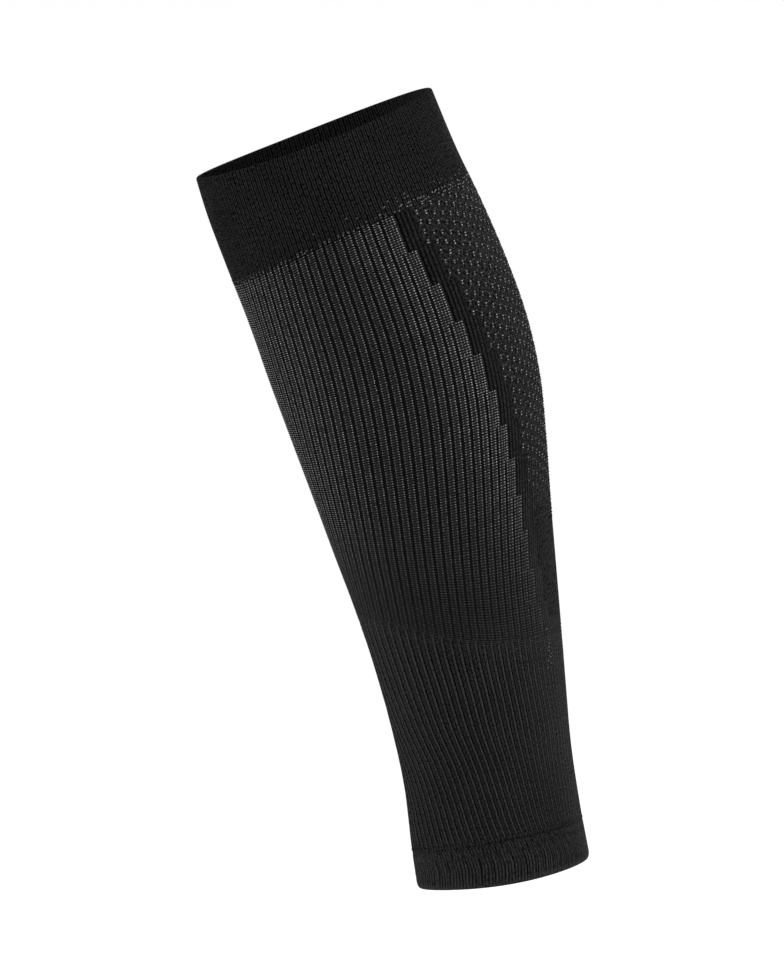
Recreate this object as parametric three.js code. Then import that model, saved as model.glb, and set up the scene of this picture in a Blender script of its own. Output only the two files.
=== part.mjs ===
// A knitted calf compression sleeve, held in the form of the leg that wears it.
// Millimetres. +Z runs up the leg, the shin faces -Y and the calf muscle +Y.
// The origin is the middle of the ankle opening, on the leg's axis.
// The whole tube is described in knit coordinates: a wale counts the rib repeats
// round the leg, from 0 at the middle of the shin, and a course is a share of the
// sleeve's length, from 0 at the ankle edge to 1 at the top rim.
import * as THREE from "three";

// Driving sizes
const sleeveLength = 340;
const calfDepth = 118.4;
const calfWidth = 113;
const knitWall = 1.5;
const ribDepth = 0.4;
const cuffWall = 2;
const hemWall = 2;
const cuffHeight = 46;
const cuffFold = 1.4;
const hemHeight = 17.4;
const hemCurlHeight = 3.2;
const hemCurl = 1.2;
const ankleHeight = 97.6;
const pieceGap = 0.3;

// Counts of the knit
const ribRepeats = 74;
const borderSteps = 12;
const borderRepeats = 2;

// The border leaves the cuff at this share of half the repeats, and each step lies one
// repeat nearer to the calf than the one above it
const borderTop = 0.54;
const borderBar = 6;

// Each step of the border is a little lower than the one above it
const stepGrowth = 0.17;

// The leg is a little broader behind its middle than in front of it
const eggShare = 0.07;

// Rows of facets in the plain pieces
const cuffRows = 2;
const ankleRows = 4;

// Sections of the leg: height as a share of the length, front and back as shares
// of the calf's depth from the leg's axis, side as a share of the calf's width
const sections = [
  { height: -0.02, front: 0.329, back: 0.337, side: 0.59 },
  { height: 0.06, front: 0.305, back: 0.352, side: 0.567 },
  { height: 0.14, front: 0.275, back: 0.376, side: 0.572 },
  { height: 0.22, front: 0.267, back: 0.414, side: 0.621 },
  { height: 0.3, front: 0.272, back: 0.454, side: 0.692 },
  { height: 0.38, front: 0.288, back: 0.493, side: 0.775 },
  { height: 0.46, front: 0.313, back: 0.532, side: 0.852 },
  { height: 0.54, front: 0.337, back: 0.574, side: 0.92 },
  { height: 0.62, front: 0.362, back: 0.609, side: 0.968 },
  { height: 0.7, front: 0.386, back: 0.616, side: 1 },
  { height: 0.78, front: 0.406, back: 0.595, side: 0.998 },
  { height: 0.86, front: 0.434, back: 0.559, side: 0.972 },
  { height: 0.94, front: 0.458, back: 0.514, side: 0.935 },
  { height: 1.04, front: 0.467, back: 0.473, side: 0.9 },
];

// How far a course lies above its own share of the length at the leg's front, sides
// and back, as shares of the length
const courseForms = [
  { course: 0, front: 0.0035, side: -0.011, back: -0.013 },
  { course: 0.051, front: 0.0067, side: 0.0013, back: -0.0064 },
  { course: 0.2, front: 0.027, side: -0.008, back: -0.027 },
  { course: 0.338, front: 0.042, side: -0.024, back: -0.042 },
  { course: 0.5, front: 0.006, side: -0.008, back: -0.006 },
  { course: 0.65, front: -0.008, side: 0.003, back: 0.008 },
  { course: 0.865, front: -0.029, side: 0.0103, back: 0.029 },
  { course: 1, front: -0.0161, side: -0.0015, back: 0.0209 },
];

// How far the wales are turned about the leg, in degrees towards the calf, how far
// they gather there, which is the share by which they lie closer than at the shin,
// and how many degrees more the ones at the back are turned
const waleTurns = [
  { course: 0, turn: 21, gather: 0.03, backTurn: -22 },
  { course: 0.025, turn: 22.5, gather: 0.03, backTurn: -22 },
  { course: 0.05, turn: 15.8, gather: 0.03, backTurn: -22 },
  { course: 0.1, turn: 9.7, gather: 0.03, backTurn: -15 },
  { course: 0.15, turn: 1.2, gather: 0.086, backTurn: -7 },
  { course: 0.2, turn: -10.7, gather: 0.186, backTurn: 4 },
  { course: 0.25, turn: -19.2, gather: 0.288, backTurn: 7 },
  { course: 0.32, turn: -19.9, gather: 0.266, backTurn: 5.5 },
  { course: 0.4, turn: -14.7, gather: 0.223, backTurn: 0 },
  { course: 0.5, turn: -8.8, gather: 0.209, backTurn: 0.5 },
  { course: 0.6, turn: -1.9, gather: 0.166, backTurn: -0.5 },
  { course: 0.7, turn: 5.1, gather: 0.099, backTurn: -4.6 },
  { course: 0.8, turn: 9, gather: 0.05, backTurn: -6.5 },
  { course: 0.9, turn: 14.9, gather: -0.023, backTurn: -7 },
  { course: 1, turn: 15, gather: -0.014, backTurn: -7 },
];

const courseShare = (height) => height / sleeveLength;
const cuffEdge = 1 - courseShare(cuffHeight);
const ankleTop = courseShare(hemHeight + ankleHeight);
const hemTop = courseShare(hemHeight);

// A smooth curve through the rows of a table, by the name of its columns
function smooth(table, along, at, column) {
  let row = 1;
  while (row < table.length - 2 && table[row + 1][along] < at) {
    row += 1;
  }
  if (at < table[1][along]) {
    row = 0;
  }
  const start = table[row];
  const end = table[row + 1];
  const before = table[Math.max(row - 1, 0)];
  const after = table[Math.min(row + 2, table.length - 1)];
  const span = end[along] - start[along];
  const share = Math.min(Math.max((at - start[along]) / span, 0), 1);
  const slopeStart = (end[column] - before[column]) / (end[along] - before[along]) * span;
  const slopeEnd = (after[column] - start[column]) / (after[along] - start[along]) * span;
  const square = share * share;
  const cube = square * share;
  return (2 * cube - 3 * square + 1) * start[column]
    + (cube - 2 * square + share) * slopeStart
    + (3 * square - 2 * cube) * end[column]
    + (cube - square) * slopeEnd;
}

// A point of the leg's section at a height, by the angle from the middle of the shin
function sectionPoint(height, angle) {
  const share = height / sleeveLength;
  const front = smooth(sections, "height", share, "front") * calfDepth;
  const back = smooth(sections, "height", share, "back") * calfDepth;
  const side = smooth(sections, "height", share, "side") * calfWidth;
  const x = side / 2 * Math.sin(angle) * (1 - eggShare * Math.cos(angle));
  const y = (back - front) / 2 - (back + front) / 2 * Math.cos(angle);
  return new THREE.Vector2(x, y);
}

// Wales lie evenly round the girth, so each section keeps the angle of each share of it
const girthSteps = 360;
const girthTables = new Map();

function girthTable(height) {
  const key = (height / sleeveLength).toFixed(4);
  if (!girthTables.has(key)) {
    const tableHeight = Number(key) * sleeveLength;
    const lengths = [0];
    let last = sectionPoint(tableHeight, 0);
    for (let step = 1; step <= girthSteps; step += 1) {
      const point = sectionPoint(tableHeight, step / girthSteps * 2 * Math.PI);
      lengths.push(lengths[step - 1] + point.distanceTo(last));
      last = point;
    }
    girthTables.set(key, lengths);
  }
  return girthTables.get(key);
}

function angleAtGirthShare(height, girthShare) {
  const lengths = girthTable(height);
  const whole = girthShare - Math.floor(girthShare);
  const wanted = whole * lengths[girthSteps];
  let step = 1;
  while (lengths[step] < wanted && step < girthSteps) {
    step += 1;
  }
  const part = (wanted - lengths[step - 1]) / (lengths[step] - lengths[step - 1]);
  return (step - 1 + part) / girthSteps * 2 * Math.PI;
}

// The point of a wale and a course, a depth under the sleeve's outline
function knitPoint(wale, course, depth) {
  const turn = smooth(waleTurns, "course", course, "turn");
  const gather = smooth(waleTurns, "course", course, "gather");
  const backTurn = smooth(waleTurns, "course", course, "backTurn");
  const evenly = wale / ribRepeats * 2 * Math.PI;
  const behind = ((1 - Math.cos(evenly)) / 2) ** 3;
  const turned = (turn + backTurn * behind) / 360;
  const girthShare = (evenly + gather * Math.sin(evenly)) / (2 * Math.PI) + turned;
  const front = smooth(courseForms, "course", course, "front");
  const side = smooth(courseForms, "course", course, "side");
  const back = smooth(courseForms, "course", course, "back");
  const forward = Math.cos(girthShare * 2 * Math.PI);
  const ends = (front + back) / 2 * forward ** 2 + (front - back) / 2 * forward;
  const height = (course + ends + side * (1 - forward ** 2)) * sleeveLength;
  const angle = angleAtGirthShare(height, girthShare);
  const point = sectionPoint(height, angle);
  const small = 0.001;
  const ahead = sectionPoint(height, angle + small);
  const along = ahead.sub(sectionPoint(height, angle - small)).normalize();
  return new THREE.Vector3(point.x - along.y * depth, point.y + along.x * depth, height);
}

// Rows from one course to another, evenly
function evenRows(from, to, count) {
  return Array.from({ length: count + 1 }, (_, row) => from + (to - from) * row / count);
}

// The rows between the ankle section and the cuff: the border's steps and its bar
const stepRows = Array.from({ length: borderSteps + 1 }, (_, step) => {
  const share = step / borderSteps;
  const fall = share * (1 + stepGrowth * (1 - share));
  return cuffEdge - (cuffEdge - ankleTop) * fall;
}).reverse();
const barRow = ankleTop + courseShare(borderBar);
const panelRows = [stepRows[0], barRow, ...stepRows.slice(1)];

// The repeats from the middle of the shin to the border, in a row of panelRows
function shinRepeats(row) {
  const step = borderSteps - 1 - Math.max(row - 1, 0);
  return Math.round(borderTop * ribRepeats / 2) + step;
}

// Which panel a repeat belongs to in a row of panelRows, alike on both sides of the leg
function panelOf(repeat, row) {
  const fromShin = Math.min(repeat, ribRepeats - 1 - repeat);
  const border = shinRepeats(row);
  if (fromShin < border) {
    return "shin";
  }
  if (row === 0 || fromShin < border + borderRepeats) {
    return "border";
  }
  return "calf";
}

// A closed solid of knitted wall: the cells of a grid of repeats and rows for which
// holds is true. Its outer face has facets parts in each repeat, its inner face one.
// outer and inner give the depths of the two faces under the outline.
function knitSolid({ rows, holds, facets, outer, inner }) {
  const positions = [];
  const indices = [];
  const found = new Map();
  const wrapped = (repeat) => (repeat + ribRepeats) % ribRepeats;
  const inside = (repeat, row) => row >= 0 && row < rows.length - 1 && holds(wrapped(repeat), row);

  // A vertex on the piece's edge steps back by half the gap between pieces
  function vertex(repeat, part, row, face) {
    const key = [wrapped(repeat), part, row, face].join(" ");
    if (!found.has(key)) {
      const before = part === 0 ? repeat - 1 : repeat;
      const above = inside(repeat, row) + inside(before, row);
      const below = inside(repeat, row - 1) + inside(before, row - 1);
      const ahead = inside(repeat, row) + inside(repeat, row - 1);
      const behind = inside(before, row) + inside(before, row - 1);
      const atRim = rows[row] === 0 || rows[row] === 1;
      const lift = atRim ? 0 : Math.sign(above - below) * courseShare(pieceGap / 2);
      const girth = girthTable(rows[row] * sleeveLength)[girthSteps];
      const shift = Math.sign(ahead - behind) * pieceGap / 2 * ribRepeats / girth;
      const wale = repeat + part / facets + shift;
      const depth = face === "outer" ? outer(part / facets, row) : inner(row);
      const point = knitPoint(wale, rows[row] + lift, depth);
      found.set(key, positions.length / 3);
      positions.push(point.x, point.y, point.z);
    }
    return found.get(key);
  }

  // A flat fan of triangles round the first corner
  function fan(corners) {
    for (let corner = 1; corner < corners.length - 1; corner += 1) {
      indices.push(corners[0], corners[corner], corners[corner + 1]);
    }
  }

  function outerEdge(repeat, row) {
    const edge = Array.from({ length: facets }, (_, part) => vertex(repeat, part, row, "outer"));
    edge.push(vertex(repeat + 1, 0, row, "outer"));
    return edge;
  }

  for (let row = 0; row < rows.length - 1; row += 1) {
    for (let repeat = 0; repeat < ribRepeats; repeat += 1) {
      if (!inside(repeat, row)) {
        continue;
      }
      const low = outerEdge(repeat, row);
      const high = outerEdge(repeat, row + 1);
      for (let part = 0; part < facets; part += 1) {
        fan([low[part], low[part + 1], high[part + 1], high[part]]);
      }
      const lowStart = vertex(repeat, 0, row, "inner");
      const lowEnd = vertex(repeat + 1, 0, row, "inner");
      const highStart = vertex(repeat, 0, row + 1, "inner");
      const highEnd = vertex(repeat + 1, 0, row + 1, "inner");
      fan([lowEnd, lowStart, highStart, highEnd]);
      if (!inside(repeat, row - 1)) {
        fan([lowEnd, ...low.slice().reverse(), lowStart]);
      }
      if (!inside(repeat, row + 1)) {
        fan([highStart, ...high, highEnd]);
      }
      if (!inside(repeat - 1, row)) {
        fan([low[0], high[0], highStart, lowStart]);
      }
      if (!inside(repeat + 1, row)) {
        fan([high[facets], low[facets], lowEnd, highEnd]);
      }
    }
  }
  const geometry = new THREE.BufferGeometry();
  geometry.setAttribute("position", new THREE.Float32BufferAttribute(positions, 3));
  geometry.setIndex(indices);
  geometry.computeVertexNormals();
  return geometry;
}

// Ribs stand on the outline, and the grooves between them lie a rib's depth under it
const ribbed = (part) => (part === 0 ? 0 : ribDepth);

function panelSolid(panel, facets) {
  return knitSolid({
    rows: panelRows,
    holds: (repeat, row) => panelOf(repeat, row) === panel,
    facets,
    outer: (part) => (facets === 1 ? ribDepth / 2 : ribbed(part)),
    inner: () => knitWall,
  });
}

function ankleSection() {
  return knitSolid({
    rows: evenRows(hemTop, ankleTop, ankleRows),
    holds: () => true,
    facets: 2,
    outer: ribbed,
    inner: () => knitWall,
  });
}

// The cuff is a doubled band whose top is a soft fold
function cuff() {
  const foldRow = 1 - courseShare(cuffFold);
  const rows = [...evenRows(cuffEdge, foldRow, cuffRows), 1];
  const atFold = (row) => row === rows.length - 1;
  return knitSolid({
    rows,
    holds: () => true,
    facets: 1,
    outer: (part, row) => (atFold(row) ? cuffWall * 0.3 : 0),
    inner: (row) => (atFold(row) ? cuffWall * 0.7 : cuffWall),
  });
}

// The hem is a turned edge that curls in towards the ankle. Each row gives its height
// as a share of the curl's height, and its faces as shares of the curl and the wall
const hemTurn = [
  { height: 0, curl: 1, outer: 0.15, inner: 0.85 },
  { height: 0.35, curl: 0.4, outer: 0, inner: 1 },
  { height: 1, curl: 0, outer: 0, inner: 1 },
];

function hem() {
  const turned = hemTurn.map((line) => courseShare(line.height * hemCurlHeight));
  const rows = [...turned, hemTop];
  const line = (row) => hemTurn[Math.min(row, hemTurn.length - 1)];
  return knitSolid({
    rows,
    holds: () => true,
    facets: 1,
    outer: (part, row) => line(row).curl * hemCurl + line(row).outer * hemWall,
    inner: (row) => line(row).curl * hemCurl + line(row).inner * hemWall,
  });
}

function yarn(color, roughness) {
  return new THREE.MeshStandardMaterial({ color, roughness, metalness: 0 });
}

function piece(name, geometry, material) {
  const mesh = new THREE.Mesh(geometry, material);
  mesh.name = name;
  return mesh;
}

const sleeve = new THREE.Group();
sleeve.add(piece("cuff", cuff(), yarn(0x1e1e20, 0.9)));
sleeve.add(piece("shin_panel", panelSolid("shin", 2), yarn(0x2b2b2d, 0.85)));
sleeve.add(piece("calf_panel", panelSolid("calf", 1), yarn(0x27272a, 0.85)));
sleeve.add(piece("stepped_border", panelSolid("border", 2), yarn(0x19191b, 0.9)));
sleeve.add(piece("ankle_section", ankleSection(), yarn(0x252527, 0.88)));
sleeve.add(piece("hem", hem(), yarn(0x222224, 0.9)));

export default sleeve;
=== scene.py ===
"""Looks of the calf compression sleeve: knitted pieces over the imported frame.

Lengths are millimetres until a mesh is made, and then metres. The tube is described
in knit coordinates, as the frame's solids are: a wale counts the rib repeats round the
leg from the middle of the shin, and a course is a share of the sleeve's length.
"""
import math

import bpy
import numpy as np
from mathutils import Matrix, Vector


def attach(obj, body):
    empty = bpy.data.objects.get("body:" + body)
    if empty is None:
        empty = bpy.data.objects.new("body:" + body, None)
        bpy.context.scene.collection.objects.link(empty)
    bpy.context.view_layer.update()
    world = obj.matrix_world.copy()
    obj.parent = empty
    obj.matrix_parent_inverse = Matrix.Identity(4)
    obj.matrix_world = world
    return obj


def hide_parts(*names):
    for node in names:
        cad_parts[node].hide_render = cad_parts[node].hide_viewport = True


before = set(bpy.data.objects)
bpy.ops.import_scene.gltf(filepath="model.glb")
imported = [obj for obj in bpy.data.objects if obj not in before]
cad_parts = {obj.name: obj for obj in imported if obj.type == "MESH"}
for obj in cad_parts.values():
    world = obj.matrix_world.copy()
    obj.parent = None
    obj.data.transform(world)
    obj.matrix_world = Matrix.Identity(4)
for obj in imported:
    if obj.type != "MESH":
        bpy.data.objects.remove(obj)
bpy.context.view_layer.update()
random = np.random.default_rng(76)

# Sizes of the sleeve, in millimetres
LENGTH = 340.0
CALF_DEPTH = 118.4
CALF_WIDTH = 113.0
KNIT_WALL = 1.5
RIB_DEPTH = 0.55
CUFF_WALL = 2.0
HEM_WALL = 2.0
CUFF_HEIGHT = 46.0
HEM_HEIGHT = 17.4
HEM_CURL_HEIGHT = 3.2
HEM_CURL = 1.2
ANKLE_HEIGHT = 97.6
BAR_HEIGHT = 6.0
EGG_SHARE = 0.07
MM = 0.001

# Distances between the mesh rows of each piece, in millimetres, and rows of each fold
CUFF_ROW = 2.6
SHIN_ROW = 2.2
BORDER_ROW = 1.6
CALF_ROW = 0.75
ANKLE_ROW = 3.2
HEM_ROW = 0.8
CUFF_FOLD_ROWS = 7
HEM_FOLD_ROWS = 6

# Mesh columns of each piece in each repeat
CUFF_COLUMNS = 16
SHIN_COLUMNS = 10
BORDER_COLUMNS = 12
CALF_COLUMNS = 10
ANKLE_COLUMNS = 12
HEM_COLUMNS = 12

# The zones between the ankle section and the cuff
IN_SHIN = 0
IN_BORDER = 1
IN_CALF = 2

# How far a fold pinches its two faces together, and how far its ribs fade
FOLD_PINCH = 0.97
FOLD_FADE = 0.8

# How much lighter the inner faces are painted than the outer ones: painted light that lifts the shade
# inside the tube
INNER_PAINTED_LIGHT = 1.3

# Counts of the knit
REPEATS = 74
STEPS = 12
BORDER_REPEATS = 2
BORDER_TOP = 0.54
STEP_GROWTH = 0.17

CUFF_EDGE = 1 - CUFF_HEIGHT / LENGTH
ANKLE_TOP = (HEM_HEIGHT + ANKLE_HEIGHT) / LENGTH
HEM_TOP = HEM_HEIGHT / LENGTH

# Where the ladders begin to form, over what share of the length, and their sides,
# which are in repeats from the middle of the ladder
LADDER_START = ANKLE_TOP - 0.02
LADDER_FADE = 0.22
LADDER_HALF = 0.38
LADDER_SIDE = 0.12

# Sections of the leg: height as a share of the length, front and back as shares
# of the calf's depth from the leg's axis, side as a share of the calf's width
SECTIONS = np.array([
    # height, front, back, side
    (-0.02, 0.329, 0.337, 0.59),
    (0.06, 0.305, 0.352, 0.567),
    (0.14, 0.275, 0.376, 0.572),
    (0.22, 0.267, 0.414, 0.621),
    (0.3, 0.272, 0.454, 0.692),
    (0.38, 0.288, 0.493, 0.775),
    (0.46, 0.313, 0.532, 0.852),
    (0.54, 0.337, 0.574, 0.92),
    (0.62, 0.362, 0.609, 0.968),
    (0.7, 0.386, 0.616, 1),
    (0.78, 0.406, 0.595, 0.998),
    (0.86, 0.434, 0.559, 0.972),
    (0.94, 0.458, 0.514, 0.935),
    (1.04, 0.467, 0.473, 0.9),
])

# How far a course lies above its own share of the length at the leg's front, sides
# and back, as shares of the length
COURSE_FORMS = np.array([
    # course, front, side, back
    (0, 0.0035, -0.011, -0.013),
    (0.051, 0.0067, 0.0013, -0.0064),
    (0.2, 0.027, -0.008, -0.027),
    (0.338, 0.042, -0.024, -0.042),
    (0.5, 0.006, -0.008, -0.006),
    (0.65, -0.008, 0.003, 0.008),
    (0.865, -0.029, 0.0103, 0.029),
    (1, -0.0161, -0.0015, 0.0209),
])

# How far the wales are turned about the leg, in degrees towards the calf, how far
# they gather there, which is the share by which they lie closer than at the shin,
# and how many degrees more the ones at the back are turned
WALE_TURNS = np.array([
    # course, turn, gather, back_turn
    (0, 21, 0.03, -22),
    (0.025, 22.5, 0.03, -22),
    (0.05, 15.8, 0.03, -22),
    (0.1, 9.7, 0.03, -15),
    (0.15, 1.2, 0.086, -7),
    (0.2, -10.7, 0.186, 4),
    (0.25, -19.2, 0.288, 7),
    (0.32, -19.9, 0.266, 5.5),
    (0.4, -14.7, 0.223, 0),
    (0.5, -8.8, 0.209, 0.5),
    (0.6, -1.9, 0.166, -0.5),
    (0.7, 5.1, 0.099, -4.6),
    (0.8, 9, 0.05, -6.5),
    (0.9, 14.9, -0.023, -7),
    (1, 15, -0.014, -7),
])


def smooth(table, at, column=1):
    """A smooth curve through a column of a table whose first column is at."""
    xs = table[:, 0]
    ys = table[:, column]
    at = np.asarray(at, float)
    row = np.clip(np.searchsorted(xs, at, side="right") - 1, 0, len(xs) - 2)
    before = np.maximum(row - 1, 0)
    after = np.minimum(row + 2, len(xs) - 1)
    span = xs[row + 1] - xs[row]
    share = np.clip((at - xs[row]) / span, 0, 1)
    slope_start = (ys[row + 1] - ys[before]) / (xs[row + 1] - xs[before]) * span
    slope_end = (ys[after] - ys[row]) / (xs[after] - xs[row]) * span
    square = share * share
    cube = square * share
    return (
        (2 * cube - 3 * square + 1) * ys[row]
        + (cube - 2 * square + share) * slope_start
        + (3 * square - 2 * cube) * ys[row + 1]
        + (cube - square) * slope_end
    )


def ramp(value, start, length):
    """0 up to a start, and then evenly up to 1 over a length."""
    return np.clip((value - start) / length, 0, 1)


def ease(share):
    """A share from 0 to 1 with a soft start and a soft end."""
    return share * share * (3 - 2 * share)


def section_point(height, angle):
    """A point of the leg's section, by the angle from the middle of the shin."""
    share = height / LENGTH
    front = smooth(SECTIONS, share, 1) * CALF_DEPTH
    back = smooth(SECTIONS, share, 2) * CALF_DEPTH
    side = smooth(SECTIONS, share, 3) * CALF_WIDTH
    x = side / 2 * np.sin(angle) * (1 - EGG_SHARE * np.cos(angle))
    y = (back - front) / 2 - (back + front) / 2 * np.cos(angle)
    return x, y


class Girth:
    """Turns a share of the girth into an angle, so that wales lie evenly round it."""

    LOW = -20.0
    HIGH = 365.0
    ROWS = 386
    STEPS = 720

    def __init__(self):
        angles = np.linspace(0, 2 * math.pi, self.STEPS + 1)
        self.lengths = []
        self.angles = np.empty((self.ROWS, self.STEPS + 1))
        for row, height in enumerate(np.linspace(self.LOW, self.HIGH, self.ROWS)):
            x, y = section_point(height, angles)
            run = np.concatenate([[0], np.cumsum(np.hypot(np.diff(x), np.diff(y)))])
            self.lengths.append(run[-1])
            self.angles[row] = np.interp(angles / (2 * math.pi), run / run[-1], angles)

    def angle(self, height, share):
        whole = np.floor(share)
        column = (share - whole) * self.STEPS
        row = (height - self.LOW) / (self.HIGH - self.LOW) * (self.ROWS - 1)
        low_row = np.clip(row.astype(int), 0, self.ROWS - 2)
        low_column = np.clip(column.astype(int), 0, self.STEPS - 1)
        up = row - low_row
        on = column - low_column
        found = (
            self.angles[low_row, low_column] * (1 - up) * (1 - on)
            + self.angles[low_row + 1, low_column] * up * (1 - on)
            + self.angles[low_row, low_column + 1] * (1 - up) * on
            + self.angles[low_row + 1, low_column + 1] * up * on
        )
        return found + whole * 2 * math.pi


girth = Girth()


def knit_points(wale, course, depth):
    """Points at wales and courses, a depth under the sleeve's outline, in millimetres."""
    wale, course, depth = np.broadcast_arrays(
        np.asarray(wale, float), np.asarray(course, float), np.asarray(depth, float)
    )
    evenly = wale / REPEATS * 2 * math.pi
    gather = smooth(WALE_TURNS, course, 2)
    behind = ((1 - np.cos(evenly)) / 2) ** 3
    turned = (smooth(WALE_TURNS, course) + smooth(WALE_TURNS, course, 3) * behind) / 360
    share = (evenly + gather * np.sin(evenly)) / (2 * math.pi) + turned
    front = smooth(COURSE_FORMS, course, 1)
    side = smooth(COURSE_FORMS, course, 2)
    back = smooth(COURSE_FORMS, course, 3)
    forward = np.cos(share * 2 * math.pi)
    ends = (front + back) / 2 * forward ** 2 + (front - back) / 2 * forward
    height = (course + ends + side * (1 - forward ** 2)) * LENGTH
    angle = girth.angle(height, share)
    x, y = section_point(height, angle)
    small = 0.001
    ahead_x, ahead_y = section_point(height, angle + small)
    behind_x, behind_y = section_point(height, angle - small)
    along_x = ahead_x - behind_x
    along_y = ahead_y - behind_y
    run = np.hypot(along_x, along_y)
    return np.stack([x - along_y / run * depth, y + along_x / run * depth, height], axis=-1)


def bump_at(value, middle, half_width):
    """A rounded bump of height 1 at middle in a phase that runs from 0 to 1."""
    away = np.abs((value - middle + 0.5) % 1 - 0.5) / half_width
    return np.where(away < 1, 0.5 + 0.5 * np.cos(math.pi * np.minimum(away, 1)), 0)


def step_courses():
    """The courses at which the border steps, from the ankle section up to the cuff."""
    share = np.arange(STEPS + 1) / STEPS
    fall = share * (1 + STEP_GROWTH * (1 - share))
    return (CUFF_EDGE - (CUFF_EDGE - ANKLE_TOP) * fall)[::-1]


STEP_COURSES = step_courses()


def shin_repeats(band):
    """The repeats from the middle of the shin to the border, in a band from below."""
    return round(BORDER_TOP * REPEATS / 2) + STEPS - 1 - band


def repeats_from_shin(wale):
    middle = wale % REPEATS
    return np.minimum(middle, REPEATS - middle)


def border_repeats(course):
    """The repeats from the middle of the shin to the border at a course."""
    band = np.clip(np.searchsorted(STEP_COURSES, course, side="right") - 1, 0, STEPS - 1)
    return shin_repeats(band)


def zone_of(wale, course):
    """The zone of each place between the ankle section and the cuff."""
    from_shin = repeats_from_shin(wale)
    border = border_repeats(course)
    in_bar = course < ANKLE_TOP + BAR_HEIGHT / LENGTH
    past_shin = np.where(from_shin < border + BORDER_REPEATS, IN_BORDER, IN_CALF)
    zone = np.where(from_shin < border, IN_SHIN, past_shin)
    return np.where(in_bar & (zone == IN_CALF), IN_BORDER, zone)


# Rib forms: the height of the outer face over its lowest groove, from 0 to 1, which the knit's
# material also paints as shade, darker the lower
def cuff_relief(wale, course):
    fine = bump_at((4 * wale) % 1, 0, 0.42)
    deep = bump_at((2 * wale) % 1, 0, 0.21)
    return 0.9 - 0.45 * fine - 0.4 * deep


def ladder_share(course):
    """How fully the ladders are formed: less and less towards the ankle section."""
    return ease(ramp(course, LADDER_START, LADDER_FADE))


def shin_relief(wale, course):
    """A raised ladder on each whole wale, fading out downwards. The last meets the border."""
    from_shin = repeats_from_shin(wale)
    ladder = np.floor(from_shin + 0.5)
    phase = from_shin - ladder
    last = border_repeats(course) - 1
    lower = np.where(ladder > last, 1, ramp(phase, -LADDER_HALF, LADDER_SIDE))
    upper = np.where(ladder >= last, 1, ramp(-phase, -LADDER_HALF, LADDER_SIDE))
    band = ease(np.minimum(lower, upper))
    floor = 0.1 + 0.42 * (1 - ladder_share(course))
    return floor + (0.85 - floor) * band


def border_relief(wale, course):
    """Two ribs in each repeat, the deepest groove beside the ladders, shallower low down."""
    across = np.clip(repeats_from_shin(wale) - border_repeats(course), 0, BORDER_REPEATS)
    depth = np.where(across < 0.5, 1.0, 0.85 - 0.2 * across)
    deep = ramp(course, 0.4, 0.12)
    groove = depth * (0.5 + 0.5 * deep) * bump_at((2 * wale) % 1, 0.5, 0.46) ** 0.6
    return (0.8 - 0.8 * groove) * (1 - 0.42 * deep)


HONEYCOMB_PITCH = 4.4
FAINTEST = 0.02


def honeycomb_phase(wale, course):
    """How far up its cell of the honeycomb a point lies, from 0 to 1."""
    return (course * LENGTH / HONEYCOMB_PITCH + np.floor(wale) / 3) % 1


def calf_relief(wale, course):
    """The honeycomb, which turns into two ribs in each repeat towards its tip."""
    phase = wale % 1
    up = honeycomb_phase(wale, course)
    bead = bump_at(phase, 0.5, 0.34) * bump_at(up, 0.5, 0.34)
    pit = (bump_at(phase, 0.16, 0.18) + bump_at(phase, 0.84, 0.18)) * bump_at(up, 0.5, 0.3)
    between = bump_at(phase, 0.5, 0.3) * bump_at(up, 0.0, 0.22)
    honeycomb = np.clip(0.62 + 0.35 * bead - 0.75 * pit - 0.35 * between, 0, 1)
    honeycomb = honeycomb * (0.8 + 0.25 * ramp(course, 0.58, 0.2))
    ribs = 0.8 - 0.6 * bump_at((2 * wale) % 1, 0.5, 0.4)
    share = ramp(course, 0.5, 0.08)
    return honeycomb * share + ribs * (1 - share)


def ankle_relief(wale, course):
    phase = wale % 1
    ridge = bump_at(phase, 0.95, 0.2)
    groove = bump_at(phase, 0.18, 0.15)
    shallow = bump_at(phase, 0.72, 0.12) + bump_at(phase, 0.45, 0.12)
    formed = 0.35 + 0.65 * np.clip((ANKLE_TOP - course) / 0.035, 0, 1)
    return 0.5 + (0.48 * ridge - 0.5 * groove - 0.25 * shallow) * formed


def hem_relief(wale, course):
    """Ribs that lean over in the upper half, above a row of pits along the seam."""
    up = course * LENGTH
    lean = 0.14 * np.clip(up - 10, 0, 8)
    sway = 0.05 * np.sin(up * 0.5 + wale * 2.4) + 0.05 * np.sin(wale * 5.3)
    phase = (wale - lean + sway) % 1
    main = bump_at(phase, 0.1, 0.24)
    second = bump_at(phase, 0.6 + 0.05 * np.sin(wale * 1.7), 0.2)
    uneven = 0.82 + 0.18 * np.sin(wale * 3.7 + up * 0.2)
    fade = np.clip((up - 0.6) / 2, 0.4, 1)
    seam = np.exp(-((up - HEM_HEIGHT + 1.4) / 0.7) ** 2)
    pits = seam * (bump_at((2 * wale) % 1, 0.2, 0.3) + bump_at((3 * wale) % 1, 0.6, 0.25))
    grooves = (main ** 0.7 + 0.85 * second ** 0.7) * uneven * fade
    return np.clip(0.95 - 0.95 * grooves * (1 - 0.5 * seam) - 0.08 * seam - 0.8 * pits, 0, 1)


def collection_object(name, vertices, faces):
    mesh = bpy.data.meshes.new(name)
    mesh.from_pydata((vertices * MM).tolist(), [], faces.tolist())
    mesh.update()
    piece = bpy.data.objects.new(name, mesh)
    bpy.context.scene.collection.objects.link(piece)
    return piece


def store(piece, name, kind, values):
    layer = piece.data.attributes.new(name, kind, "POINT")
    field = "vector" if kind == "FLOAT_VECTOR" else "value"
    layer.data.foreach_set(field, np.ascontiguousarray(values, np.float32).ravel())


def smooth_faces(piece):
    piece.data.polygons.foreach_set("use_smooth", np.ones(len(piece.data.polygons), bool))
    piece.data.update()


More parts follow.
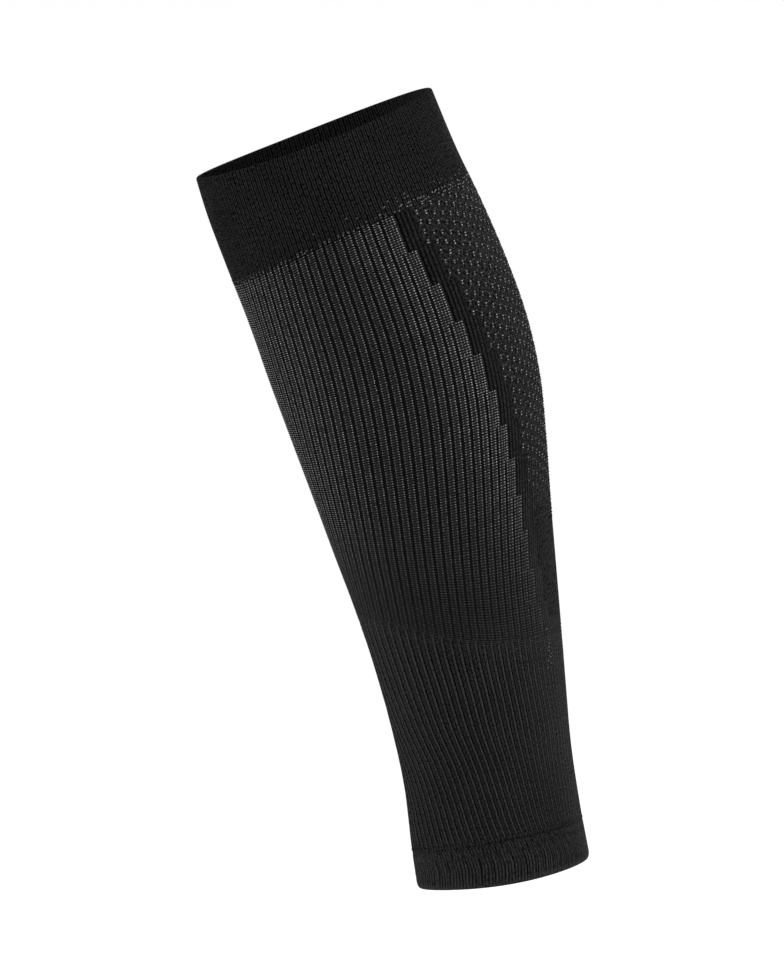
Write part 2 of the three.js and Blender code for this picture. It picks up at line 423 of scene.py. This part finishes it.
def all_cells(courses, wales):
    return np.ones((len(courses) - 1, len(wales)), bool)


def knit_mesh(name, wales, courses, mask, outer, inner, relief):
    """A closed mesh of knitted wall over the cells of a grid where mask is true.

    wales and courses are the grid's lines, and the last wale meets the first. outer,
    inner and relief are arrays over the grid: the depths of the two faces under the
    outline, and the outer face's relief.
    """
    columns = len(wales)
    rows = len(courses)
    grid_wale, grid_course = np.meshgrid(wales, courses)
    outside = knit_points(grid_wale, grid_course, outer).reshape(-1, 3)
    within = knit_points(grid_wale, grid_course, inner).reshape(-1, 3)
    count = rows * columns
    row, column = np.nonzero(mask)
    next_column = (column + 1) % columns
    low = row * columns + column
    low_next = row * columns + next_column
    high = (row + 1) * columns + column
    high_next = (row + 1) * columns + next_column

    padded = np.pad(mask, 1)
    padded[1:-1, 0] = mask[:, -1]
    padded[1:-1, -1] = mask[:, 0]
    below = ~padded[row, column + 1]
    above = ~padded[row + 2, column + 1]
    before = ~padded[row + 1, column]
    after = ~padded[row + 1, column + 2]

    faces = [
        np.stack([low, low_next, high_next, high], axis=1),
        np.stack([low_next, low, high, high_next], axis=1) + count,
        np.stack([low_next, low, low + count, low_next + count], axis=1)[below],
        np.stack([high, high_next, high_next + count, high + count], axis=1)[above],
        np.stack([low, high, high + count, low + count], axis=1)[before],
        np.stack([high_next, low_next, low_next + count, high_next + count], axis=1)[after],
    ]
    faces = np.concatenate(faces)
    vertices = np.concatenate([outside, within])
    used, faces = np.unique(faces, return_inverse=True)
    faces = faces.reshape(-1, 4)
    piece = collection_object(name, vertices[used], faces)
    # The relief goes to the material, which paints the lower yarn darker as painted shade; the inner
    # faces take it made lighter, painted light that lifts the shade inside the tube
    knit = np.stack([
        np.tile(grid_wale.ravel(), 2),
        np.tile(grid_course.ravel() * LENGTH, 2),
        np.concatenate([relief.ravel(), INNER_PAINTED_LIGHT * relief.ravel()]),
    ], axis=1)
    store(piece, "knit", "FLOAT_VECTOR", knit[used])
    smooth_faces(piece)
    return piece


def grid_lines(columns_each):
    return np.arange(REPEATS * columns_each) / columns_each


def rows_between(lines, spacing):
    """Course lines through each of lines, with about a spacing in millimetres between."""
    found = []
    for start, end in zip(lines[:-1], lines[1:]):
        parts = max(1, round((end - start) * LENGTH / spacing))
        found.extend(start + (end - start) * np.arange(parts) / parts)
    found.append(lines[-1])
    return np.array(found)


def middle_of(lines):
    return (lines[:-1] + lines[1:]) / 2


def panel(name, zone, columns_each, spacing, relief_of):
    """One of the three panels between the ankle section and the cuff."""
    lines = np.sort(np.append(STEP_COURSES, ANKLE_TOP + BAR_HEIGHT / LENGTH))
    wales = grid_lines(columns_each)
    courses = rows_between(lines, spacing)
    cell_wale, cell_course = np.meshgrid(wales + 0.5 / columns_each, middle_of(courses))
    mask = zone_of(cell_wale, cell_course) == zone
    grid_wale, grid_course = np.meshgrid(wales, courses)
    relief = relief_of(grid_wale, grid_course)
    outer = RIB_DEPTH * (1 - relief)
    inner = np.full_like(outer, KNIT_WALL)
    return knit_mesh(name, wales, courses, mask, outer, inner, relief)


def cuff_mesh():
    half = CUFF_WALL / 2
    turn = np.linspace(0, math.pi / 2, CUFF_FOLD_ROWS)
    fold = 1 - half * (1 - np.sin(turn)) / LENGTH
    straight = rows_between(np.array([CUFF_EDGE, fold[0]]), CUFF_ROW)
    courses = np.concatenate([straight[:-1], fold])
    wales = grid_lines(CUFF_COLUMNS)
    grid_wale, grid_course = np.meshgrid(wales, courses)
    relief = cuff_relief(grid_wale, grid_course)
    pinch = half * (1 - np.cos(turn)) * FOLD_PINCH
    inset = np.concatenate([np.zeros(len(straight) - 1), pinch])
    fade = np.concatenate([np.ones(len(straight) - 1), np.cos(turn * FOLD_FADE)])
    ribs = RIB_DEPTH * (1 - relief) * fade[:, None]
    outer = inset[:, None] + ribs
    inner = CUFF_WALL - inset[:, None] - ribs * 0.6
    mask = all_cells(courses, wales)
    return knit_mesh("cuff_knit", wales, courses, mask, outer, inner, relief)


def ankle_mesh():
    wales = grid_lines(ANKLE_COLUMNS)
    courses = rows_between(np.array([HEM_TOP, ANKLE_TOP]), ANKLE_ROW)
    grid_wale, grid_course = np.meshgrid(wales, courses)
    relief = ankle_relief(grid_wale, grid_course)
    outer = RIB_DEPTH * (1 - relief)
    inner = np.full_like(outer, KNIT_WALL)
    mask = all_cells(courses, wales)
    return knit_mesh("ankle_knit", wales, courses, mask, outer, inner, relief)


def hem_mesh():
    wales = grid_lines(HEM_COLUMNS)
    half = HEM_WALL / 2
    turn = np.linspace(math.pi / 2, 0, HEM_FOLD_ROWS)
    fold = half * (1 - np.sin(turn)) / LENGTH
    straight = rows_between(np.array([fold[-1], HEM_TOP]), HEM_ROW)
    courses = np.concatenate([fold[:-1], straight])
    grid_wale, grid_course = np.meshgrid(wales, courses)
    relief = hem_relief(grid_wale, grid_course)
    up = np.clip(courses * LENGTH / HEM_CURL_HEIGHT, 0, 1)
    curl = HEM_CURL * (1 - up) ** 2.2
    pinch = half * (1 - np.cos(turn[:-1])) * FOLD_PINCH
    inset = np.concatenate([pinch, np.zeros(len(straight))])
    fade = np.concatenate([np.cos(turn[:-1] * FOLD_FADE), np.ones(len(straight))])
    ribs = RIB_DEPTH * (1 - relief) * fade[:, None]
    outer = (curl + inset)[:, None] + ribs
    inner = np.broadcast_to((curl + HEM_WALL - inset)[:, None], outer.shape)
    mask = all_cells(courses, wales)
    return knit_mesh("hem_knit", wales, courses, mask, outer, inner, relief)


def bead_form(sides, rings):
    """The corners and triangles of a small rounded bead, in halves of its own size."""
    corners = [(0.0, 0.0, 1.0)]
    for ring in range(rings):
        tilt = math.pi / 2 * (ring + 1) / rings
        for side in range(sides):
            turn = 2 * math.pi * side / sides
            flat = math.sin(tilt)
            corners.append((flat * math.cos(turn), flat * math.sin(turn), math.cos(tilt)))
    corners.append((0.0, 0.0, -1.0))
    faces = []
    lowest = 1 + (rings - 1) * sides
    for side in range(sides):
        after = (side + 1) % sides
        faces.append((0, 1 + side, 1 + after))
        for ring in range(rings - 1):
            here = 1 + ring * sides
            there = here + sides
            faces.append((here + side, there + side, there + after))
            faces.append((here + side, there + after, here + after))
        faces.append((len(corners) - 1, lowest + after, lowest + side))
    return np.array(corners), np.array(faces)


ROUGH_BEAD = bead_form(4, 1)
ROUND_BEAD = bead_form(6, 2)


def stitches(name, form, wale, course, width, height, lift, depth, tone):
    """Small stitches of pale yarn joined in one mesh.

    wale and course place each one. width is in repeats, height and lift in millimetres,
    and depth is how far its middle lies under the outline.
    """
    corners, triangles = form
    count = len(wale)
    width, height, lift, depth, tone = (
        np.broadcast_to(np.asarray(value, float), count)
        for value in (width, height, lift, depth, tone)
    )
    across, along, out = corners.T
    at_wale = wale[:, None] + across * width[:, None] / 2
    at_course = course[:, None] + along * height[:, None] / 2 / LENGTH
    at_depth = depth[:, None] - out * lift[:, None]
    vertices = knit_points(at_wale, at_course, at_depth).reshape(-1, 3)
    starts = len(corners) * np.arange(count)
    faces = (triangles[None] + starts[:, None, None]).reshape(-1, 3)
    piece = collection_object(name, vertices, faces)
    store(piece, "tone", "FLOAT", np.repeat(tone, len(corners)))
    smooth_faces(piece)
    return piece


def jitter(count, spread):
    return random.normal(0, spread, count)


def varied(count, spread, low=0.3, high=1.6):
    """Random shares about 1, kept between low and high."""
    return np.clip(random.normal(1, spread, count), low, high)


RUNG_PITCH = 1.08


def shin_tone(wale, course):
    """How bright the pale yarn shows in the shin panel, from 0 to 1."""
    from_border = border_repeats(course) - repeats_from_shin(wale)
    near_border = np.exp(-(from_border / 4.5) ** 2)
    at_front = np.exp(-(repeats_from_shin(wale) / 10) ** 2)
    across = 0.4 + 0.55 * np.maximum(at_front, near_border)
    down = ease(ramp(course, 0.33, 0.25))
    return across * (0.3 + 0.7 * down)


def ladder_cells():
    """The wale and course of the middle of each rung, and which way the calf lies.

    The last value says which rungs are on the wider ladder beside the border.
    """
    count = int((CUFF_EDGE - ANKLE_TOP) * LENGTH / RUNG_PITCH)
    courses = CUFF_EDGE - (np.arange(count) + 0.6) * RUNG_PITCH / LENGTH
    wale, course = np.meshgrid(np.arange(REPEATS), courses)
    shown = zone_of(wale, course) == IN_SHIN
    wale = wale[shown].astype(float)
    course = course[shown]
    calfward = np.where(wale < REPEATS / 2, 1, -1)
    beside = repeats_from_shin(wale) > border_repeats(course) - 1.5
    return wale, course, calfward, beside


def ladder_dots():
    """Two columns of pale stitches on each ladder, the one towards the calf the brighter."""
    wale, course, calfward, beside = ladder_cells()
    places = [wale - 0.25 * calfward, wale + np.where(beside, 0.8, 0.26) * calfward]
    strengths = [np.where(beside, 1.0, 0.86), np.full(len(wale), 1.18)]
    rows = [course, course]
    for phase, strength in ((0.14, 0.6), (0.47, 0.65)):
        places.append((wale + phase * calfward)[beside])
        strengths.append(np.full(int(beside.sum()), strength))
        rows.append(course[beside])
    places = np.concatenate(places)
    rows = np.concatenate(rows)
    count = len(places)
    tone = shin_tone(places, rows) * np.concatenate(strengths) * varied(count, 0.25)
    rows = rows + jitter(count, 0.06) / LENGTH
    places = places + jitter(count, 0.01)
    size = 0.82 + 0.18 * tone
    width = 0.2 * size
    height = 0.56 * size
    return stitches("ladder_dots", ROUGH_BEAD, places, rows, width, height, 0.22, 0.06, tone)


def ladder_rungs():
    wale, course, calfward, beside = ladder_cells()
    count = len(wale)
    tone = 0.13 * shin_tone(wale, course) * ladder_share(course) * varied(count, 0.4)
    tone = tone * np.where(beside, 0.5, 1.0)
    wale = wale + np.where(beside, 0.27, 0) * calfward
    course = course + jitter(count, 0.05) / LENGTH
    width = np.where(beside, 1.0, 0.46)
    return stitches("ladder_rungs", ROUGH_BEAD, wale, course, width, 0.32, 0.16, 0.08, tone)


def in_calf(wale, course):
    return (zone_of(wale, course) == IN_CALF) & (course < CUFF_EDGE) & (course > ANKLE_TOP)


def honeycomb_cells(shift_wale, shift_up):
    """Wales and courses of one place in each cell of the honeycomb."""
    count = int((CUFF_EDGE - ANKLE_TOP) * LENGTH / HONEYCOMB_PITCH) + 3
    wale, number = np.meshgrid(np.arange(REPEATS), np.arange(count))
    start = np.floor(ANKLE_TOP * LENGTH / HONEYCOMB_PITCH) - 1
    up = start + number + shift_up + (-wale / 3) % 1
    return wale.ravel() + shift_wale, up.ravel() * HONEYCOMB_PITCH / LENGTH


def honeycomb_tone(course):
    """The honeycomb's pale stitches fade out towards its tip."""
    return ramp(course, 0.45, 0.11)


def honeycomb_stitches():
    """Pairs of pale stitches, one pair in each cell of the honeycomb."""
    wale, course = honeycomb_cells(0.5, 0.5)
    side = np.repeat([-1.0, 1.0], len(wale))
    wale = np.tile(wale, 2) + 0.03 * side
    course = np.tile(course, 2) + side * 0.56 / LENGTH
    shown = in_calf(wale, course) & (honeycomb_tone(course) > FAINTEST)
    wale = wale[shown]
    course = course[shown]
    total = len(wale)
    tone = 0.6 * honeycomb_tone(course) * varied(total, 0.4)
    wale = wale + jitter(total, 0.02)
    course = course + jitter(total, 0.06) / LENGTH
    width = 0.21 * varied(total, 0.15, 0.7, 1.4)
    return stitches("honeycomb_stitches", ROUND_BEAD, wale, course, width, 0.62, 0.22, 0.08, tone)


def honeycomb_ties():
    """Fainter stitches that lead from each pair to the next column."""
    parts = [honeycomb_cells(0.98, 0.65), honeycomb_cells(0.74, 0.63), honeycomb_cells(0.24, 0.12)]
    strength = np.repeat([0.28, 0.14, 0.1], len(parts[0][0]))
    wale = np.concatenate([part[0] for part in parts])
    course = np.concatenate([part[1] for part in parts])
    shown = in_calf(wale, course) & (honeycomb_tone(course) > FAINTEST)
    wale = wale[shown]
    course = course[shown]
    total = len(wale)
    tone = strength[shown] * honeycomb_tone(course) * varied(total, 0.5, 0.0, 2.2)
    course = course + jitter(total, 0.12) / LENGTH
    return stitches("honeycomb_ties", ROUGH_BEAD, wale, course, 0.17, 0.48, 0.2, 0.1, tone)


# Rows of stitches at the cuff's edge: how high in millimetres, how likely, how bright
FRINGE_ROWS = ((0.6, 0.85, 0.3), (1.7, 0.55, 0.2))
BACK_ROWS = ((0.8, 0.55, 0.42), (2.3, 0.5, 0.5), (4.9, 0.22, 0.32), (6.6, 0.16, 0.24))


def edge_row(wale, shown, lift, strength):
    """The wale, lift and strength of each stitch that is shown in a row."""
    row = np.stack([wale, np.full(len(wale), lift), np.full(len(wale), strength)], axis=1)
    return row[shown]


def cuff_edge_stitches():
    """A fringe over each ladder where the cuff is joined on, and rows at the back."""
    wale = np.arange(0, REPEATS, 0.25)
    back = np.clip((np.minimum(wale, REPEATS - wale) - 18.5) / 4, 0, 1)
    over_ladder = ((2 * wale) % 1 == 0.5) & (back < 0.4)
    rows = []
    for lift, chance, strength in FRINGE_ROWS:
        shown = over_ladder & (random.random(len(wale)) < chance)
        rows.append(edge_row(wale, shown, lift, strength))
    for lift, chance, strength in BACK_ROWS:
        shown = random.random(len(wale)) < chance * (0.05 + 0.95 * back)
        rows.append(edge_row(wale, shown, lift, strength))
    rows = np.concatenate(rows)
    total = len(rows)
    at_wale = rows[:, 0] + jitter(total, 0.03)
    at_course = CUFF_EDGE + (rows[:, 1] + jitter(total, 0.25)) / LENGTH
    tone = rows[:, 2] * varied(total, 0.35)
    return stitches("cuff_edge_stitches", ROUND_BEAD, at_wale, at_course, 0.2, 0.6, 0.26, 0.1, tone)


# Rows that run out under the ladders, and the stitches under the border's tip
LADDER_END_ROWS = 12
TIP_STITCHES = 12
TIP_PITCH = 1.6
JUST_ABOVE_ANKLE = ANKLE_TOP + 0.001


def ankle_edge_stitches():
    """Pale stitches that run out under the ladders, and a short row under the border's tip."""
    phases = np.array([-0.25, 0.0, 0.26])
    wale, number, phase = np.meshgrid(
        np.arange(REPEATS), np.arange(LADDER_END_ROWS), phases, indexing="ij"
    )
    run_out = number / LADDER_END_ROWS
    shown = random.random(wale.shape) > run_out
    calfward = np.where(wale < REPEATS / 2, 1, -1)
    under = wale + phase * calfward
    course = ANKLE_TOP - (number + 0.5) * RUNG_PITCH / LENGTH
    tone = 0.16 * shin_tone(under, course) / 0.3 * (1 - run_out)
    border = border_repeats(JUST_ABOVE_ANKLE)
    shown &= repeats_from_shin(under) < border - 0.2

    tip_wale = border + 0.9 + jitter(TIP_STITCHES, 0.5)
    tip_course = ANKLE_TOP + (1.4 - np.arange(TIP_STITCHES) * TIP_PITCH) / LENGTH
    places = [under[shown], tip_wale, REPEATS - tip_wale]
    courses = [course[shown], tip_course, tip_course]
    tones = [tone[shown] * varied(int(shown.sum()), 0.5)]
    tones += [1.2 * varied(TIP_STITCHES, 0.5), 1.2 * varied(TIP_STITCHES, 0.5)]
    place = np.concatenate(places)
    tone = np.concatenate(tones)
    return stitches("ankle_edge_stitches", ROUGH_BEAD, place, np.concatenate(courses),
                    0.2, 0.55, 0.2, 0.06, tone)


def hem_seam_loops():
    """Short loops that hang over the seam from the ankle section's ridges."""
    wale = np.concatenate([np.arange(REPEATS) + 0.5, np.arange(REPEATS) + 0.02])
    total = len(wale)
    course = HEM_TOP + (jitter(total, 0.15) - 0.5) / LENGTH
    tone = np.repeat([0.02, 0.0], REPEATS) * varied(total, 0.5)
    wale = wale + jitter(total, 0.03)
    return stitches("hem_seam_loops", ROUND_BEAD, wale, course, 0.3, 1.3, 0.3, 0.15, tone)


class Nodes:
    """Short forms for building a material's nodes."""

    def __init__(self, name):
        self.material = bpy.data.materials.new(name)
        self.material.use_nodes = True
        self.tree = self.material.node_tree
        self.shader = self.tree.nodes["Principled BSDF"]

    def put(self, socket, value):
        if isinstance(value, bpy.types.NodeSocket):
            self.tree.links.new(value, socket)
        else:
            socket.default_value = value

    def math(self, operation, first, second=0.0):
        node = self.tree.nodes.new("ShaderNodeMath")
        node.operation = operation
        for socket, value in zip(node.inputs, (first, second)):
            self.put(socket, value)
        return node.outputs[0]

    def add(self, first, second):
        return self.math("ADD", first, second)

    def times(self, first, second):
        return self.math("MULTIPLY", first, second)

    def mix(self, share, first, second):
        node = self.tree.nodes.new("ShaderNodeMix")
        node.data_type = "RGBA"
        self.put(node.inputs["Factor"], share)
        self.put(node.inputs["A"], first)
        self.put(node.inputs["B"], second)
        return node.outputs["Result"]

    def attribute(self, name):
        node = self.tree.nodes.new("ShaderNodeAttribute")
        node.attribute_name = name
        return node

    def split(self, vector):
        node = self.tree.nodes.new("ShaderNodeSeparateXYZ")
        self.put(node.inputs[0], vector)
        return node.outputs

    def join(self, x, y, z):
        node = self.tree.nodes.new("ShaderNodeCombineXYZ")
        for socket, value in zip(node.inputs, (x, y, z)):
            self.put(socket, value)
        return node.outputs[0]

    def noise(self, vector, scale, detail=2.0):
        node = self.tree.nodes.new("ShaderNodeTexNoise")
        self.put(node.inputs["Vector"], vector)
        self.put(node.inputs["Scale"], scale)
        self.put(node.inputs["Detail"], detail)
        return node.outputs["Fac"]

    def bump(self, height, distance):
        node = self.tree.nodes.new("ShaderNodeBump")
        self.put(node.inputs["Height"], height)
        self.put(node.inputs["Distance"], distance)
        self.put(node.inputs["Strength"], 1.0)
        return node.outputs[0]

    def object_place(self):
        return self.tree.nodes.new("ShaderNodeTexCoord").outputs["Object"]


# Stitch columns in each repeat, how much bluer than grey the yarn is, and how finely
# its speckle is drawn, across in each repeat and along in each millimetre
STITCH_WALES = 4
BLUE_TINT = 1.04
SPECKLE_ACROSS = 6.0
SPECKLE_ALONG = 0.85


def grey(value):
    return (value, value, value * BLUE_TINT, 1.0)


def line_share(n, wale, line):
    """How strongly a line along the wales shows at a point, from 0 to 1."""
    count, middle, half_width = line
    phase = n.math("FRACT", n.add(n.times(wale, float(count)), 0.5 - middle))
    away = n.math("ABSOLUTE", n.add(phase, -0.5))
    near = n.math("SUBTRACT", 1.0, n.times(away, 1 / half_width))
    near = n.math("MAXIMUM", near, 0.0)
    return n.times(near, n.math("SUBTRACT", 2.0, near))


def speckle(n, wale, up, contrast):
    """Uneven yarn, drawn out along the wales, about 1 with a given contrast."""
    spot = n.join(n.times(wale, SPECKLE_ACROSS), n.times(up, SPECKLE_ALONG), 0.0)
    spread = n.times(n.add(n.noise(spot, 1.0, 1.0), -0.5), contrast)
    return n.math("MAXIMUM", n.add(spread, 1.0), 0.05)


def knit_material(name, groove, crest, course_pitch, slant, one_way=False,
                  relief_shade_share=0.6, contrast=2.4, groove_shade_lines=(), ridge_highlight_lines=(), rungs=0.0,
                  sheen=0.02):
    """Dark knit: slanted stitch legs on each wale, darker down in the grooves.

    groove is the grey painted on the lowest yarn as painted shade, crest the grey of the
    highest yarn, course_pitch is in millimetres, and slant is how many courses a leg rises.
    With one_way the whole wale leans the same way, as in a fine twisted rib. A line is a
    count in each repeat, its middle and half its width, followed by its strength: groove
    shade lines are painted shade along the grooves, ridge highlight lines painted highlights
    along the ridges. relief_shade_share is the share of the colour that is painted shade from
    the relief.
    rungs is the strength of lighter rows on the raised parts of a ladder.
    """
    n = Nodes(name)
    wale, up, relief = n.split(n.attribute("knit").outputs["Vector"])
    place = n.object_place()
    wobble = n.times(n.add(n.noise(place, 900.0), -0.5), 0.35)
    across = n.math("FRACT", n.add(n.times(wale, float(STITCH_WALES)), n.times(wobble, 0.3)))
    from_middle = n.math("ABSOLUTE", n.add(across, -0.5))
    if one_way:
        lean = n.times(across, slant)
        crown = n.math("SUBTRACT", 1.0, n.math("POWER", n.times(from_middle, 2.0), 2.0))
    else:
        lean = n.times(from_middle, -2 * slant)
        leg = n.math("ABSOLUTE", n.add(n.times(from_middle, 4.0), -1.0))
        crown = n.math("SUBTRACT", 1.0, n.math("POWER", leg, 2.0))
    course = n.add(n.times(up, 1 / course_pitch), n.times(lean, -1.0))
    course = n.add(course, wobble)
    swell = n.math("SINE", n.times(course, 2 * math.pi))
    swell = n.add(n.times(swell, 0.5), 0.5)
    stitch = n.times(crown, n.add(n.times(swell, 0.8), 0.2))
    # Painted shade: the colour darkens with the relief and the stitch height, so grooves, pits and
    # the dips between stitch legs are painted dark
    shade = n.add(n.times(relief, relief_shade_share), n.times(stitch, 1 - relief_shade_share))
    if rungs:
        from_edge = n.math("SUBTRACT", CUFF_EDGE * LENGTH, up)
        turn = n.times(n.add(n.times(from_edge, 1 / RUNG_PITCH), -0.6), 2 * math.pi)
        row = n.math("MAXIMUM", n.math("COSINE", turn), 0.0)
        raised = n.math("MAXIMUM", n.add(n.times(relief, 2.5), -1.0), 0.0)
        shade = n.add(n.times(shade, 1 - rungs), n.times(n.times(row, raised), rungs))
    swayed = n.add(wale, n.times(wobble, 0.12))
    # Painted highlights along the ridges
    for count, middle, half_width, strength in ridge_highlight_lines:
        line = line_share(n, swayed, (count, middle, half_width))
        shade = n.add(shade, n.times(line, strength))
    # Painted shade along the grooves
    for count, middle, half_width, strength in groove_shade_lines:
        line = line_share(n, swayed, (count, middle, half_width))
        shade = n.times(shade, n.math("SUBTRACT", 1.0, n.times(line, strength)))
    fibre = n.noise(place, 5200.0, 3.0)
    patches = n.noise(place, 60.0, 3.0)
    shade = n.times(shade, speckle(n, wale, up, contrast))
    shade = n.times(shade, n.add(n.times(patches, 0.6), 0.7))
    shade = n.times(shade, n.add(n.times(fibre, 0.8), 0.6))
    colour = n.mix(n.math("MINIMUM", shade, 1.0), grey(groove), grey(crest))
    n.put(n.shader.inputs["Base Color"], colour)
    n.put(n.shader.inputs["Roughness"], 1.0)
    n.put(n.shader.inputs["Specular IOR Level"], 0.0)
    n.put(n.shader.inputs["Sheen Weight"], sheen)
    n.put(n.shader.inputs["Sheen Roughness"], 0.3)
    height = n.add(stitch, n.times(fibre, 0.25))
    n.put(n.shader.inputs["Normal"], n.bump(height, 0.0003))
    return n.material


def pale_material(name, dark, bright):
    """Pale yarn that shows through or stands on the dark knit."""
    n = Nodes(name)
    tone = n.attribute("tone").outputs["Fac"]
    place = n.object_place()
    fibre = n.noise(place, 4200.0, 3.0)
    shade = n.times(tone, n.add(n.times(fibre, 0.7), 0.65))
    colour = n.mix(n.math("MINIMUM", shade, 1.0), grey(dark), grey(bright))
    n.put(n.shader.inputs["Base Color"], colour)
    n.put(n.shader.inputs["Roughness"], 0.8)
    n.put(n.shader.inputs["Specular IOR Level"], 0.02)
    n.put(n.shader.inputs["Sheen Weight"], 0.02)
    n.put(n.shader.inputs["Normal"], n.bump(fibre, 0.0001))
    return n.material


def dress(piece, material, node):
    """Give a piece its finish and let it stand for a node, or go with one."""
    piece.data.materials.append(material)
    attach(piece, "root")
    if node:
        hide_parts(node)
    return piece


cuff_yarn = knit_material("cuff_rib", 0.0003, 0.0175, 1.2, 0.9, one_way=True, contrast=4.4,
                          groove_shade_lines=((4, 0.0, 0.26, 0.75), (2, 0.0, 0.2, 0.8)))
shin_yarn = knit_material("shin_ladder", 0.0022, 0.0242, 1.08, 0.3, relief_shade_share=0.4,
                          contrast=3.0, rungs=0.75)
border_yarn = knit_material("border_rib", 0.0002, 0.0228, 1.25, 0.7, relief_shade_share=0.85,
                            contrast=3.4, groove_shade_lines=((2, 0.5, 0.24, 0.75),))
calf_yarn = knit_material("calf_honeycomb", 0.0003, 0.0155, 1.1, 1.3, one_way=True,
                          relief_shade_share=0.75, contrast=6.0)
ankle_yarn = knit_material("ankle_rib", 0.0004, 0.0255, 1.1, 0.6, relief_shade_share=0.5, contrast=3.8,
                           groove_shade_lines=((1, 0.16, 0.13, 0.9), (1, 0.7, 0.1, 0.6)),
                           ridge_highlight_lines=((1, 0.95, 0.14, 0.5),), sheen=0.03)
hem_yarn = knit_material("hem_turned", 0.0003, 0.0235, 1.1, 0.5, relief_shade_share=0.85, contrast=3.6,
                         groove_shade_lines=((2, 0.2, 0.3, 0.5),), sheen=0.035)
pale_yarn = pale_material("pale_yarn", 0.006, 0.2)

knits = [
    dress(cuff_mesh(), cuff_yarn, "cuff"),
    dress(panel("shin_knit", IN_SHIN, SHIN_COLUMNS, SHIN_ROW, shin_relief),
          shin_yarn, "shin_panel"),
    dress(panel("border_knit", IN_BORDER, BORDER_COLUMNS, BORDER_ROW, border_relief),
          border_yarn, "stepped_border"),
    dress(panel("calf_knit", IN_CALF, CALF_COLUMNS, CALF_ROW, calf_relief),
          calf_yarn, "calf_panel"),
    dress(ankle_mesh(), ankle_yarn, "ankle_section"),
    dress(hem_mesh(), hem_yarn, "hem"),
]
dress(ladder_dots(), pale_yarn, None)
dress(ladder_rungs(), pale_yarn, None)
dress(honeycomb_stitches(), pale_yarn, None)
dress(honeycomb_ties(), pale_yarn, None)
dress(cuff_edge_stitches(), pale_yarn, None)
dress(ankle_edge_stitches(), pale_yarn, None)
dress(hem_seam_loops(), pale_yarn, None)


# The studio: a pale floor below the held sleeve, an even white room and soft lights
def floor():
    half = 40.0
    level = -0.32
    mesh = bpy.data.meshes.new("floor")
    corners = [(-half, -half, level), (half, -half, level), (half, half, level), (-half, half, level)]
    mesh.from_pydata(corners, [], [(0, 1, 2, 3)])
    piece = bpy.data.objects.new("floor", mesh)
    bpy.context.scene.collection.objects.link(piece)
    n = Nodes("floor_pale")
    n.put(n.shader.inputs["Base Color"], (0.95, 0.95, 0.95, 1.0))
    n.put(n.shader.inputs["Roughness"], 0.9)
    n.put(n.shader.inputs["Specular IOR Level"], 0.1)
    mesh.materials.append(n.material)


def room(strength):
    world = bpy.data.worlds.new("room")
    world.use_nodes = True
    background = world.node_tree.nodes["Background"]
    background.inputs["Color"].default_value = (1.0, 1.0, 1.0, 1.0)
    background.inputs["Strength"].default_value = strength
    bpy.context.scene.world = world


LIGHTS_AIM = Vector((0.0, 0.0, 0.18))


def soft_light(name, place, size, power):
    data = bpy.data.lights.new(name, "AREA")
    data.shape = "DISK"
    data.size = size
    data.energy = power
    light = bpy.data.objects.new(name, data)
    light.location = place
    away = LIGHTS_AIM - Vector(place)
    light.rotation_euler = away.to_track_quat("-Z", "Y").to_euler()
    bpy.context.scene.collection.objects.link(light)


# The photograph's view, from the side and a little above, with the leg leaning
VIEW_HEIGHT = 0.437
VIEW_DISTANCE = 10.0
VIEW_ELEVATION = math.radians(5)
LEG_UP_IN_VIEW = (-0.2492, 0.9685)
VIEW_MIDDLE = Vector((0.0, -0.0048, 0.1774))
SENSOR = 36.0


def camera():
    data = bpy.data.cameras.new("photo_view")
    data.sensor_fit = "VERTICAL"
    data.sensor_height = SENSOR
    data.sensor_width = SENSOR
    data.lens = SENSOR * VIEW_DISTANCE / VIEW_HEIGHT
    data.clip_end = 200.0
    view = bpy.data.objects.new("photo_view", data)
    bpy.context.scene.collection.objects.link(view)
    bpy.context.scene.camera = view
    towards = Vector((math.cos(VIEW_ELEVATION), 0.0, math.sin(VIEW_ELEVATION)))
    level_right = Vector((0.0, 1.0, 0.0))
    level_up = towards.cross(level_right)
    lean, rise = LEG_UP_IN_VIEW
    right = rise * level_right + lean * level_up
    up = -lean * level_right + rise * level_up
    place = VIEW_MIDDLE + towards * VIEW_DISTANCE
    turn = Matrix((right, up, towards)).transposed().to_4x4()
    view.matrix_world = Matrix.Translation(place) @ turn


bpy.context.scene.view_settings.view_transform = "Standard"
floor()
room(1.05)
soft_light("key", (1.6, -1.6, 1.6), 1.4, 40.0)
soft_light("right", (0.5, 1.95, 0.08), 1.0, 44.0)
soft_light("back_left", (-1.2, -1.8, 1.0), 1.0, 30.0)
soft_light("back_right", (-1.2, 1.8, 0.8), 1.0, 30.0)
camera()
